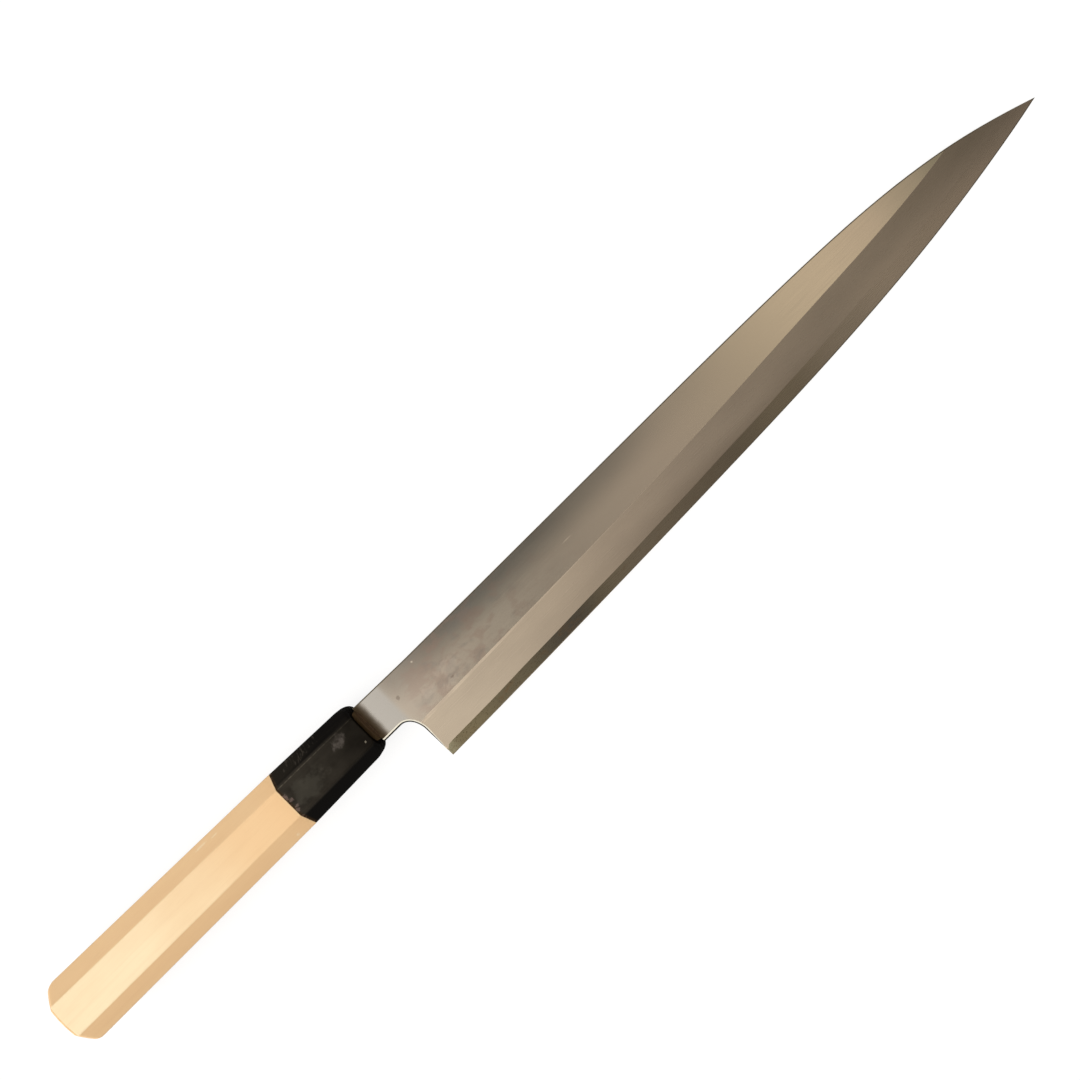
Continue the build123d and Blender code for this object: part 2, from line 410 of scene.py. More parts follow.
def colour(red, green, blue):
    """Colour as the shader wants it, from the 0 to 255 shades of a colour picker."""
    shades = [shade / 255 for shade in (red, green, blue)]
    return (*(s / 12.92 if s < 0.04045 else ((s + 0.055) / 1.055) ** 2.4 for s in shades), 1.0)


class Nodes:
    """Nodes that make up a finish, or the light of the room."""

    def __init__(self, tree):
        self.tree = tree

    def join(self, socket, value):
        """Set an input to a value, or link it where the value comes from a node."""
        if isinstance(value, bpy.types.NodeSocket):
            self.tree.links.new(value, socket)
        else:
            socket.default_value = value

    def add(self, kind, inputs=None, **settings):
        """Node of a kind with its settings and inputs."""
        node = self.tree.nodes.new(kind)
        for name, value in settings.items():
            setattr(node, name, value)
        for name, value in (inputs or {}).items():
            self.join(node.inputs[name], value)
        return node

    def maths(self, operation, first, second=0.0):
        return self.add("ShaderNodeMath", {0: first, 1: second}, operation=operation).outputs[0]

    def vector(self, operation, first, second):
        inputs = {0: first, 1: second}
        return self.add("ShaderNodeVectorMath", inputs, operation=operation).outputs[0]

    def length(self, offset):
        return self.add("ShaderNodeVectorMath", {0: offset}, operation="LENGTH").outputs["Value"]

    def scaled(self, light, level):
        inputs = {0: light, "Scale": level}
        return self.add("ShaderNodeVectorMath", inputs, operation="SCALE").outputs[0]

    def times(self, first, *others):
        for other in others:
            first = self.maths("MULTIPLY", first, other)
        return first

    def fade(self, value, start, end, low=0.0, high=1.0, shape="SMOOTHSTEP"):
        """Soft step of a value, from low at its start to high at its end."""
        inputs = {"Value": value, "From Min": start, "From Max": end, "To Min": low, "To Max": high}
        return self.add("ShaderNodeMapRange", inputs, interpolation_type=shape).outputs[0]

    def ramp(self, value, stops, interpolation="LINEAR"):
        """Colour that runs through stops of (place, colour), with no level above 1."""
        first, last = stops[0][0], stops[-1][0]
        ramp = self.add("ShaderNodeValToRGB", {0: self.fade(value, first, last, shape="LINEAR")})
        points = ramp.color_ramp.elements
        points.remove(points[1])
        for i, (place, levels) in enumerate(stops):
            share = (place - first) / (last - first)
            point = points.new(share) if i else points[0]
            point.position = share
            point.color = (*levels, 1.0)
        ramp.color_ramp.interpolation = interpolation
        return ramp.outputs[0]

    def mixed(self, share, first, second):
        """Colour part way from one to another."""
        inputs = {0: share, 6: first, 7: second}
        return self.add("ShaderNodeMix", inputs, data_type="RGBA").outputs[2]


class Finish(Nodes):
    """Material of one finish, built up from layers of colour, polish and fine relief."""

    def __init__(self, name):
        self.material = bpy.data.materials.new(name)
        self.material.use_nodes = True
        super().__init__(self.material.node_tree)
        self.shader = self.tree.nodes["Principled BSDF"]
        place = self.add("ShaderNodeTexCoord").outputs["Object"]
        shifted = self.vector("SUBTRACT", place, knife_origin)
        self.place = self.vector("MULTIPLY", shifted, Vector((1, 1, 1)) / MM)
        self.x, self.y, self.z = self.add("ShaderNodeSeparateXYZ", {0: self.place}).outputs

    def cloud(self, size, stretch=(1, 1, 1), detail=4.0, seed=0.0):
        """Soft noise whose blotches measure about size millimetres, stretched if asked."""
        scale = Vector((1 / (size * along) for along in stretch))
        spread = self.vector("MULTIPLY", self.place, scale)
        inputs = {"Vector": self.vector("ADD", spread, Vector((seed, seed, seed)))}
        inputs |= {"Scale": 1.0, "Detail": detail, "Roughness": 0.55}
        return self.add("ShaderNodeTexNoise", inputs).outputs[0]

    def along(self, *stops):
        """Value that runs through stops of (place along the knife, level), at most 1."""
        return self.ramp(self.x, [(place, (level, level, level)) for place, level in stops], "EASE")

    def blot(self, x, y, length, height, seed):
        """Patch about a place on the knife with a ragged edge: 1 in its middle, 0 outside."""
        off = self.vector("SUBTRACT", self.place, Vector((x, y, 0)))
        off = self.vector("MULTIPLY", off, Vector((2 / length, 2 / height, 0)))
        ragged = self.cloud(min(length, height) / 2, detail=3, seed=seed)
        ragged = self.fade(ragged, 0.3, 0.7, -0.4, 0.4)
        return self.fade(self.maths("ADD", self.length(off), ragged), 1.2, 0.5)

    def tone(self, shades, *shares):
        """Lay a colour over what is there, by all its shares together."""
        self.base = self.mixed(self.times(*shares), self.base, colour(*shades))

    def blots(self, shades, share, *places):
        """Lay a colour over patches of (x, y, length, height, seed)."""
        for place in places:
            self.tone(shades, self.blot(*place), share)

    def set(self, name, value):
        self.join(self.shader.inputs[name], value)

    def worked(self, marks, polish, relief, metal=0.0, glint=0.5):
        """Material with its colour on, and the roughness and relief that its marks give."""
        if isinstance(polish, tuple):
            polish = self.fade(marks, 0.3, 0.7, *polish)
        strength, depth = relief
        inputs = {"Height": marks, "Strength": strength, "Distance": depth * MM}
        self.set("Normal", self.add("ShaderNodeBump", inputs).outputs[0])
        self.set("Base Color", self.base)
        self.set("Roughness", polish)
        self.set("Metallic", metal)
        self.set("Specular IOR Level", glint)
        return self.material


def two_toned(name, light, dark, polish, relief, metal=1.0, glint=0.5, toned=(0.3, 0.7), **marks):
    """Finish of two near tones and one kind of mark, such as a file or a stone leaves."""
    finish = Finish(name)
    lines = finish.cloud(**marks)
    finish.base = finish.mixed(finish.fade(lines, *toned), colour(*light), colour(*dark))
    return finish.worked(lines, polish, relief, metal, glint)


def satin_iron():
    """Stoned flat face: grey, darker towards the spine and over the first third of the blade, partly patina
    and partly a painted dark reflection.
    """
    finish = Finish("satin_iron")
    finish.base = colour(197, 191, 181)
    # Painted dark reflection mixed with patina: darker towards the spine and over the first third of the
    # blade.
    near_heel = ((9.8, 0.05), (11.2, 0.42), (16, 0.62), (35, 0.92), (50, 1.0))
    patina_and_reflection_run = finish.along(*near_heel, (80, 0.86), (115, 0.68), (150, 0.2), (180, 0.0))
    drift = finish.fade(finish.cloud(14, stretch=(1.8, 1, 1), detail=3), 0.3, 0.7, 0.93, 1.07)
    finish.tone((130, 131, 128), finish.fade(finish.y, -6.5, 6.0), patina_and_reflection_run, drift)
    finish.tone((190, 190, 188), finish.fade(finish.x, 12.5, 9.8))
    browned = finish.along((10, 0.0), (14, 0.5), (30, 1.0), (42, 0.6), (60, 0.0))
    finish.tone((160, 136, 120), browned, 0.22)
    handled = finish.along((11, 0.0), (20, 0.8), (30, 1.0), (52, 1.0), (75, 0.3), (105, 0.0))
    blush = finish.cloud(3.6, stretch=(1.5, 1, 1), detail=5, seed=21)
    finish.tone((168, 144, 136), finish.fade(blush, 0.45, 0.62, 0.0, 0.36), handled)
    cool = finish.cloud(4, stretch=(1.8, 1, 1), detail=5, seed=33)
    finish.tone((142, 142, 142), finish.fade(cool, 0.5, 0.66, 0.0, 0.28), handled)
    pale_smears = ((32.5, -5.6, 10, 5, 32.5), (22.0, -7.4, 5, 4, 22.0), (30.0, -10.5, 6, 3, 30.0))
    finish.blots((214, 206, 196), 0.3, *pale_smears)
    dark_spots = ((13.5, -1.7, 1.3, 1.5, -1.7), (31.5, -9.4, 1.8, 0.6, -9.4))
    finish.blots((112, 98, 90), 0.45, *dark_spots)
    bright_nicks = ((25.3, 3.8, 0.8, 0.7, 3.8), (91.5, -3.8, 4.0, 0.4, -3.8))
    finish.blots((232, 226, 214), 0.7, *bright_nicks)
    finish.tone((144, 150, 132), finish.along((238, 0.0), (259, 0.27), (272, 0.6), (284, 1.0)))
    # Painted shadow and reflection of the ferrule: brown, matt and less metallic on the neck just in front
    # of the mouth.
    smeared = finish.fade(finish.cloud(2.2, detail=3, seed=51), 0.3, 0.7, -0.12, 0.12)
    ferrule_shade_by_mouth = finish.fade(finish.maths("ADD", finish.x, smeared), 4.3, 0.9)
    finish.tone((106, 92, 70), ferrule_shade_by_mouth)
    lines = finish.cloud(0.16, stretch=(120, 1, 1), detail=3)
    polish = finish.fade(lines, 0.3, 0.7, 0.19, 0.23)
    polish = finish.maths("ADD", polish, finish.times(ferrule_shade_by_mouth, 0.35))
    metal = finish.fade(ferrule_shade_by_mouth, 0.0, 1.0, 1.0, 0.15)
    return finish.worked(lines, polish, (0.02, 0.02), metal)


def tip_light_and_shade(finish):
    """Painted light and shade on the bevel by the tip: lighter along the edge, darker along the spine."""
    painted_light = finish.along((205, 0.0), (238, 1.0), (275, 1.0), (296, 0.0))
    finish.tone((216, 207, 194), finish.fade(finish.y, -9, -17), painted_light, 0.7)
    painted_shade = finish.along((225, 0.0), (262, 0.6), (286, 1.0))
    finish.tone((152, 147, 136), finish.fade(finish.y, -14, -4), painted_shade, 0.7)


def stoned_bevel():
    """Wide bevel as it comes off the stones: soft haze with fine scratches along it."""
    finish = Finish("stoned_bevel")
    haze = finish.fade(finish.cloud(18, stretch=(2.5, 1, 1), detail=4, seed=2), 0.35, 0.7)
    finish.base = finish.mixed(haze, colour(199, 192, 181), colour(190, 183, 173))
    # Darker on the lower bevel along the middle of the blade.
    darker_low_band = finish.along((40, 0.0), (90, 0.4), (140, 1.0), (185, 1.0), (230, 0.0))
    finish.tone((152, 144, 133), finish.fade(finish.y, -14, -24), darker_low_band, 0.7)
    tip_light_and_shade(finish)
    lines = finish.cloud(0.1, stretch=(220, 1, 1), detail=2, seed=3)
    return finish.worked(lines, (0.27, 0.31), (0.01, 0.02), metal=1.0)


def softened_ridge():
    """Ridge by the heel, rubbed over to a narrow facet; its lighter tone is partly a painted highlight
    along the ridge.
    """
    marks = {"size": 1.5, "stretch": (6, 1, 1), "detail": 3, "seed": 29}
    tones = (214, 206, 194), (203, 195, 184)
    return two_toned("softened_ridge", *tones, (0.32, 0.38), (0.02, 0.02), **marks)


def polish_and_highlight():
    """Bright polish on the eased corners of choil and heel; its near-white cream tone is partly a painted
    highlight.
    """
    marks = {"size": 1.2, "stretch": (4, 1, 1), "seed": 4}
    tones = (246, 240, 222), (236, 228, 208)
    return two_toned("polish_and_highlight", *tones, (0.22, 0.32), (0.05, 0.02), **marks)


def dull_and_shaded_spine():
    """Spine and side walls: filed across, olive grey; their dark tone is partly a dull finish, partly a
    painted dark reflection.
    """
    marks = {"size": 0.3, "stretch": (1, 8, 8), "seed": 24}
    tones = (128, 121, 106), (104, 98, 84)
    return two_toned("dull_and_shaded_spine", *tones, (0.3, 0.42), (0.1, 0.02), **marks)


def choil_shadow_line():
    """Painted shadow line: a thin dark strip on the steep outer strip of the eased choil, neck belly and
    heel.
    """
    marks = {"size": 0.5, "stretch": (2, 2, 1), "seed": 31}
    tones = (66, 60, 49), (44, 40, 33)
    return two_toned("choil_shadow_line", *tones, (0.45, 0.6), (0.1, 0.02), **marks)


iron_finishes = {
    "flat": satin_iron(),
    "bevel": stoned_bevel(),
    "ridge": softened_ridge(),
    "polish": polish_and_highlight(),
    # scale: a painted shadow line on the choil's steep outer strip.
    "scale": choil_shadow_line(),
    # spine: its dark tone is partly a painted dark reflection.
    "spine": dull_and_shaded_spine(),
}
iron_body = piece_of("soft_iron_body", iron_faces, iron_finishes, 2.5)
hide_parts("blade_iron_body")


# Hard cutting steel, forge-welded along the back of the iron. On the front it shows as a
# darker stripe along the edge, below the seam. The back is ground hollow on a large
# wheel and left with a flat rim, so that only the rim touches the stone.
hollow_radius = 205.0
hollow_rim = 3.4
hollow_start = 5.0
hollow_runout = 24.0
hollow_run_in_steps = 11
hollow_step = 3.0
hollow_lanes = 9
hollow_end_gap = 1.0
hollow_end_tolerance = 0.1
fine_edge_width = 0.3
fine_edge_start = 1.0
fine_edge_end = 2.0


def hollow_sides(x):
    """Levels of the hollow's two sides, which meet in a round end by the heel."""
    low, high = edge_y(x) + hollow_rim, top_y(x) - hollow_rim
    runout = min(1.0, max(0.0, (x - heel_x - hollow_start) / hollow_runout))
    half = (high - low) / 2 * math.sqrt(runout * (2 - runout))
    middle = (high + low) / 2
    return middle - half, middle + half


def hollow_z(x, y):
    """Height of the back: flat on the rim, and up in the round of the wheel inside it."""
    low, high = hollow_sides(x)
    half, off = (high - low) / 2, y - (high + low) / 2
    if abs(off) >= half:
        return back_z
    return back_z + math.sqrt(hollow_radius ** 2 - off ** 2) - math.sqrt(hollow_radius ** 2 - half ** 2)


def width_left(x):
    return top_y(x) - edge_y(x) - hollow_rim - hollow_rim


hollow_first = heel_x + hollow_start
hollow_last = max(x for x in np.arange(hollow_first, tip_x, hollow_end_tolerance) if width_left(x) > 0)
run_in_turns = np.linspace(0, math.pi / 2, hollow_run_in_steps + 1)
run_in = hollow_first + hollow_runout * (1 - np.cos(run_in_turns))
hollow_middle = np.arange(run_in[-1] + hollow_step, hollow_last - hollow_end_gap, hollow_step)
hollow_x = [*run_in, *hollow_middle, hollow_last]
hollow_side_lines = [[(x, hollow_sides(x)[side]) for x in hollow_x] for side in (0, 1)]
hollow_inside = [
    (x, between(*hollow_sides(x), lane / hollow_lanes))
    for x in hollow_x[1:-1]
    for lane in range(1, hollow_lanes)
]


def back_finish(face):
    x, y = np.mean([corner[:2] for corner in face], axis=0)
    low, high = hollow_sides(x)
    return "hollow" if low < y < high and hollow_first < x < hollow_last else "rim"


steel_faces = []
steel_rim = run(front_rim, seam_at_heel, seam_at_spine)
fine_edge_x = np.arange(heel_x + fine_edge_start, tip_x - fine_edge_end, outline_step)
fine_edge_line = [(x, edge_y(x) + fine_edge_width) for x in fine_edge_x]
for face in filled([point[:2] for point in steel_rim] + seam[-2:0:-1], [fine_edge_line], front_z):
    x, y = np.mean([corner[:2] for corner in face], axis=0)
    steel_faces.append((face, "fine edge" if y < edge_y(x) + fine_edge_width else "edge"))
steel_faces += corner_faces(seam_at_heel, seam_at_spine)
steel_faces += [(face, "rim") for face in weld_face]
stations = (weld_at_belly, seam_at_heel, seam_at_spine, weld_at_spine)
for start, end in zip(stations, stations[1:]):
    foot_rows = [run(row, start, end) for row in back_rows[::-1]]
    wall_top = [(x, y, min(weld_z, z)) for x, y, z in run(front_rows[0], start, end)]
    steel_faces += [(face, "spine") for face in strips([*foot_rows, wall_top])]
steel_faces += [(face, "rim") for face in strips([list(ends) for ends in step_ends])]
steel_back = [point[:2] for point in run(back_rows[-1], weld_at_belly, weld_at_spine)]
for face in filled(steel_back, hollow_side_lines, hollow_z, hollow_inside):
    steel_faces.append((face, back_finish(face)))


def hard_edge():
    """Hard steel by the edge: olive and dark by the heel, bright again by the tip; these tones along the
    blade are partly patina, partly a painted reflection.
    """
    finish = Finish("hard_edge")
    finish.base = colour(126, 120, 99)
    finish.tone((156, 156, 136), finish.fade(finish.x, 18.5, 12.8))
    # Tones along the blade, partly patina and partly painted reflection: dark over the first third, mid
    # grey after it, bright towards the tip.
    dark_patina_and_reflection = finish.along((20, 0.0), (45, 0.45), (72, 1.0), (98, 0.3), (125, 0.0))
    finish.tone((82, 81, 77), dark_patina_and_reflection)
    midway_patina_and_reflection = finish.along((75, 0.0), (110, 1.0), (150, 1.0), (180, 0.0))
    finish.tone((136, 131, 122), midway_patina_and_reflection, 0.7)
    finish.tone((196, 189, 178), finish.along((150, 0.0), (180, 0.35), (210, 0.8), (235, 1.0)))
    tip_light_and_shade(finish)
    by_heel = finish.along((12, 1.0), (60, 0.8), (110, 0.3), (180, 0.0))
    haze = finish.cloud(7, stretch=(4, 1, 1), detail=4, seed=6)
    finish.tone((106, 101, 88), finish.fade(haze, 0.35, 0.7, 0.0, 0.25), by_heel)
    patches = finish.cloud(2.4, stretch=(2, 1, 1), detail=4, seed=61)
    finish.tone((112, 92, 68), finish.fade(patches, 0.52, 0.7, 0.0, 0.5), by_heel)
    pits = finish.cloud(0.42, detail=2, seed=7)
    finish.tone((70, 60, 44), finish.fade(pits, 0.59, 0.66, 0.0, 0.8), by_heel)
    lines = finish.cloud(0.1, stretch=(180, 1, 1), detail=2, seed=8)
    return finish.worked(lines, (0.25, 0.29), (0.015, 0.02), metal=1.0)


def last_honed():
    """Hair-fine last bevel along the edge, honed a little steeper on a hard stone."""
    finish = Finish("last_honed")
    lines = finish.cloud(0.08, stretch=(50, 1, 1), detail=2, seed=36)
    finish.base = finish.mixed(lines, colour(132, 125, 110), colour(118, 111, 98))
    return finish.worked(lines, (0.2, 0.3), (0.02, 0.01), metal=1.0)


def wheel_ground():
    """Hollow of the back, with the fine lines that the wheel leaves across the blade."""
    marks = {"size": 0.22, "stretch": (1, 60, 1), "seed": 9}
    tones = (180, 173, 162), (160, 154, 144)
    return two_toned("wheel_ground", *tones, (0.26, 0.38), (0.12, 0.02), **marks)


def flat_rim():
    """Rim of the back, laid dead flat on the stone and bright from it."""
    marks = {"size": 0.15, "stretch": (40, 1, 1), "detail": 3, "seed": 10}
    tones = (210, 203, 191), (194, 187, 176)
    return two_toned("flat_rim", *tones, (0.16, 0.26), (0.05, 0.01), **marks)


steel_finishes = {
    "edge": hard_edge(),
    "fine edge": last_honed(),
    "polish": polish_and_highlight(),
    # scale: a painted shadow line on the choil's steep outer strip.
    "scale": choil_shadow_line(),
    # spine: its dark tone is partly a painted dark reflection.
    "spine": dull_and_shaded_spine(),
    "hollow": wheel_ground(),
    "rim": flat_rim(),
}
cutting_steel = piece_of("hard_steel_layer", steel_faces, steel_finishes, 2.5)
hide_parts("blade_cutting_steel")


# Ferrule: a collar of black horn, sawn to a tapering octagon, bored for the tenon and
# glued on. Its front corners are rounded over by hand and it is buffed to a gloss.
ferrule_length = 34.8
joint_spine_side = 10.65
joint_edge_side = 12.0
front_spine_side = 9.5
front_edge_side = 11.15
butt_thickness = 21.5
front_thickness = 19.4
joint_bevel = 5.65
front_bevel = 4.85
front_corner_length = 4.4
front_corner_depth = 3.8
lower_corner_length = 6.0
front_cut_ease = (2.0, 0.9)
lower_cut_ease = (4.2, 4.2)
front_rim_round = 0.3
front_dome = 0.5
tenon_front_radius = 6.4
tenon_back_radius = 8.0
joint_axis_y = -0.675
arris_round = 0.45
joint_ease = 0.12
mouth_ease = 0.1
mouth_ring_share = 0.25
arris_reach_share = 0.4
least_cut = 0.05
arris_steps = 4
facet_steps = 3
collar_steps = 7
collar_start = 3.0
collar_end = 2.0
corner_steps = 15
steep = 0.35
end_share = 0.9

joint_top = between(front_thickness, butt_thickness, ferrule_length / handle_length) / 2


def rounded_outline(corners, radius):
    """Outline across the handle with each arris rounded and each facet divided."""
    points = []
    count = len(corners)
    ends = []
    for i, corner in enumerate(corners):
        before, after = Vector(corners[i - 1]), Vector(corners[(i + 1) % count])
        corner = Vector(corner)
        reach = min(radius, arris_reach_share * min((before - corner).length, (after - corner).length))
        start = corner + (before - corner).normalized() * reach
        end = corner + (after - corner).normalized() * reach
        ends.append((start, corner, end))
    for i, (start, corner, end) in enumerate(ends):
        for share in np.linspace(0, 1, arris_steps + 1):
            points.append(start.lerp(corner, share).lerp(corner.lerp(end, share), share))
        following = ends[(i + 1) % count][0]
        points += [end.lerp(following, share) for share in np.linspace(0, 1, facet_steps + 1)[1:-1]]
    return points


def octagon_corners(spine_side, edge_side, top, cut_line):
    """Corners across the handle: a rectangle cut at 45 degrees beyond its cut lines."""
    spine_cut = max(least_cut, spine_side + top - cut_line[0])
    edge_cut = max(least_cut, edge_side + top - cut_line[1])
    half = [
        (spine_side, top - spine_cut),
        (spine_side - spine_cut, top),
        (edge_cut - edge_side, top),
        (-edge_side, top - edge_cut),
    ]
    return half + [(y, -z) for y, z in reversed(half)]


def drawn_in(x, length, depth):
    """How far the ferrule's rounded front has drawn in at a place near the mouth."""
    return depth * (1 - math.sqrt(1 - (max(0.0, x + length) / length) ** 2))


def ferrule_row(x, inset=0.0):
    """Outline across the ferrule, its front rounded over, and more so on the underside."""
    share = 1 + x / ferrule_length
    spine_side = between(joint_spine_side, front_spine_side, share)
    edge_side = between(joint_edge_side, front_edge_side, share)
    top = between(joint_top, front_thickness / 2, share)
    bevel = between(joint_bevel, front_bevel, share)
    cut_line = [side + top - bevel - inset for side in (spine_side, edge_side)]
    top -= drawn_in(x, front_rim_round, front_rim_round) + inset
    halves = []
    corners = (front_corner_length, front_cut_ease), (lower_corner_length, lower_cut_ease)
    for length, cut_ease in corners:
        drop = drawn_in(x, length, front_corner_depth) + inset
        cut_drop = math.sqrt(2) * drawn_in(x, *cut_ease)
        eased_line = [line - cut_drop for line in cut_line]
        halves.append(octagon_corners(spine_side - drop, edge_side - drop, top, eased_line))
    upper, lower = halves
    domed_x = x - front_dome * max(0.0, 1 + x / lower_corner_length)
    return [(domed_x, y, z) for y, z in rounded_outline(upper[:4] + lower[4:], arris_round)]


def round_row(x, radius, axis_y, like):
    """Circle round the tenon's axis, with its points in the directions of another row's."""
    row = []
    for _, y, z in like:
        turn = math.atan2(z, y - axis_y)
        row.append((x, axis_y + radius * math.cos(turn), radius * math.sin(turn)))
    return row


front_turns = np.linspace(0, math.pi / 2, corner_steps + 1)
collar_x = np.linspace(collar_start - ferrule_length, -lower_corner_length - collar_end, collar_steps + 1)
ferrule_x = [joint_ease - ferrule_length, *collar_x]
ferrule_x += [-lower_corner_length * (1 - math.sin(turn)) for turn in front_turns]
ferrule_rows = [ferrule_row(-ferrule_length, joint_ease)] + [ferrule_row(x) for x in ferrule_x]
front_face = ferrule_rows[-1]
back_face = ferrule_rows[0]
mouth_ring = round_row(0.0, tenon_front_radius + mouth_ease, mouth_axis_y, front_face)
first_ring = [
    tuple(between(np.array(outer), np.array(inner), mouth_ring_share))
    for outer, inner in zip(front_face, mouth_ring)
]
bore_rows = [
    first_ring,
    mouth_ring,
    round_row(-mouth_ease, tenon_front_radius, mouth_axis_y, front_face),
    round_row(-ferrule_length, tenon_back_radius, joint_axis_y, front_face),
]
ferrule_skin = strips([*ferrule_rows, *bore_rows, back_face], closed=True)


def buffed_horn():
    """Black horn: deep brown-black, buffed, with cloudy smudges and faint scratches."""
    finish = Finish("buffed_horn")
    finish.base = colour(7, 5, 3)
    streak = finish.fade(finish.cloud(1.1, stretch=(12, 1, 1), detail=4, seed=12), 0.45, 0.7)
    finish.tone((20, 17, 12), streak, 0.5)
    by_hand = finish.fade(finish.x, -12, -32, 0.0, 0.6)
    finish.tone((40, 37, 31), finish.fade(finish.y, 5.2, 7.0), by_hand)
    # Painted shade: the edge side of the ferrule darker.
    finish.tone((4, 3, 1), finish.fade(finish.y, -6.0, -7.2, 0.0, 0.85))
    # Greyer top facet: partly wear smudges, partly a painted sheen where the light falls on it.
    on_top = finish.fade(finish.z, 8.6, 9.6)
    top_wear_and_sheen = finish.times(on_top, finish.fade(finish.x, -4, -26, 0.35, 1.0))
    cloudy = finish.cloud(7, stretch=(1.4, 1, 1), detail=3, seed=11)
    finish.tone((62, 59, 53), top_wear_and_sheen, finish.fade(cloudy, 0.25, 0.65, 0.35, 0.75))
    rubbed = finish.fade(finish.cloud(1.8, detail=3, seed=27), 0.35, 0.6, 0.2, 0.75)
    finger_mark, palm_mark = (-9.1, 2.0, 5.4, 4.6, 41), (-26.5, -1.8, 17, 8, 42)
    finish.blots((84, 80, 77), rubbed, finger_mark)
    finish.blots((82, 81, 74), 0.28, palm_mark)
    strokes = finish.cloud(0.7, stretch=(1, 4, 4), detail=4, seed=43)
    strokes = finish.fade(strokes, 0.48, 0.7, 0.0, 0.4)
    scuffed_bevel, nick_by_mouth = (-23, 8.8, 15, 4.4, 44), (-2.6, -4.3, 0.7, 0.9, 45)
    finish.blots((84, 80, 74), strokes, scuffed_bevel)
    finish.blots((112, 108, 98), 1.0, nick_by_mouth)
    # Painted highlight: a thin broken light line along the top facet's spine-side arris, stronger towards
    # the joint.
    arris_y = finish.maths("ADD", finish.times(finish.x, -0.01), 4.65)
    off_arris = finish.maths("ABSOLUTE", finish.maths("SUBTRACT", finish.y, arris_y))
    arris = finish.times(finish.fade(off_arris, 0.26, 0.08), on_top)
    by_joint = finish.fade(finish.x, -4, -34, 0.15, 0.55)
    broken = finish.fade(finish.cloud(1.6, detail=4, seed=46), 0.35, 0.6, 0.3, 1.0)
    finish.tone((104, 100, 90), arris, by_joint, broken)
    at_joint = finish.fade(finish.x, -ferrule_length + 1.3, -ferrule_length + 0.2)
    chips = finish.fade(finish.cloud(1.4, detail=3, seed=13), 0.5, 0.6, 0.0, 0.6)
    finish.tone((52, 38, 20), at_joint, 0.8)
    finish.tone((118, 98, 88), at_joint, chips)
    upper_chips = ((-34.0, 1.3, 1.2, 2.6, 1.3), (-33.3, -0.6, 1.6, 1.4, -0.6))
    lower_chips = ((-34.0, -4.4, 1.5, 1.6, -4.4), (-33.2, -3.2, 1.8, 0.9, -3.2))
    finish.blots((128, 112, 108), 0.45, *upper_chips, *lower_chips)
    polish = finish.fade(finish.fade(cloudy, 0.4, 0.8), 0.0, 1.0, 0.28, 0.42)
    scratch = finish.cloud(0.09, stretch=(60, 1, 1), detail=2, seed=14)
    return finish.worked(scratch, polish, (0.05, 0.02), glint=0.03)


def filed_horn(name, dark, light, tint_and_reflection=None):
    """Horn that is filed and left matt, with fine file marks, and browner below its rim where asked: partly
    its own tint, partly a painted warm reflection.
    """
    finish = Finish(name)
    marks = finish.cloud(0.2, stretch=(1, 1, 14), detail=3, seed=22)
    finish.base = finish.mixed(finish.fade(marks, 0.3, 0.7), colour(*light), colour(*dark))
    if tint_and_reflection:
        # Browner below the rim, towards the tenon: partly the horn's own tint, partly a painted reflection
        # of warm light.
        finish.tone(tint_and_reflection, finish.fade(finish.maths("ABSOLUTE", finish.z), 9.6, 4.5))
    return finish.worked(marks, (0.8, 0.95), (0.2, 0.03), glint=0.01)


def horn_finish(face):
    """Filed end round the mouth, matt rounded corners behind it, buffed faces elsewhere."""
    corners = [Vector(corner) for corner in face]
    middle = sum(corners, Vector()) / len(corners)
    facing = (corners[2] - corners[0]).cross(corners[3] - corners[1]).normalized()
    if min(corner.x for corner in corners) > -front_dome and middle.x > -end_share * front_dome:
        return "end"
    rounded = middle.x > -lower_corner_length and (abs(facing.z) < steep or middle.z < 0)
    return "corner" if rounded else "horn"


def keep_flat(piece):
    """Shade the broad facets flat, with only the narrow arrises between them round."""
    piece.modifiers.new("flat_facets", "WEIGHTED_NORMAL").keep_sharp = True


ferrule_faces = [(face, horn_finish(face)) for face in ferrule_skin]
ferrule_finishes = {
    "horn": buffed_horn(),
    "corner": filed_horn("matt_horn", (5, 4, 3), (13, 10, 7)),
    "end": filed_horn("horn_end_tint_and_reflection", (34, 26, 14), (46, 36, 22), tint_and_reflection=(92, 78, 58)),
}
ferrule = piece_of("horn_ferrule_collar", ferrule_faces, ferrule_finishes, 35)
keep_flat(ferrule)
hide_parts("horn_ferrule")


# Handle: one piece of magnolia, planed to a tapering octagon with a domed butt, its
# front turned down to a tenon for the ferrule and slotted for the tang. The wood is
# bare and finely sanded, tan, with a painted sheen that makes its broad faces paler
# towards the butt.
butt_spine_side = 12.75
butt_edge_side = 12.3
butt_bevel = 6.1
butt_dome_radius = 46.0
butt_spine_round = 3.2
butt_edge_round = 2.4
butt_top_round = 0.7
butt_cut_round = 1.4
ring_width = 1.7
heart_of_tree = (-46, -70)
end_grain_depth = 0.9
grip_steps = 23
first_grip_share = 0.002
rim_steps = 11
dome_steps = 9
tenon_recess = 0.05
tenon_ease = 0.15
least_seal_corner = 0.2
halvings = 24
seal_height = 12.4
seal_width = 5.6
seal_corner = 1.5
seal_depth = 3.0
joint_x = -ferrule_length
butt_x = -handle_length


def round_over(radius, left):
    """How far a rounded rim draws in, where that much is left to its end."""
    off = max(0.0, radius - left)
    return radius - math.sqrt(radius ** 2 - off ** 2)


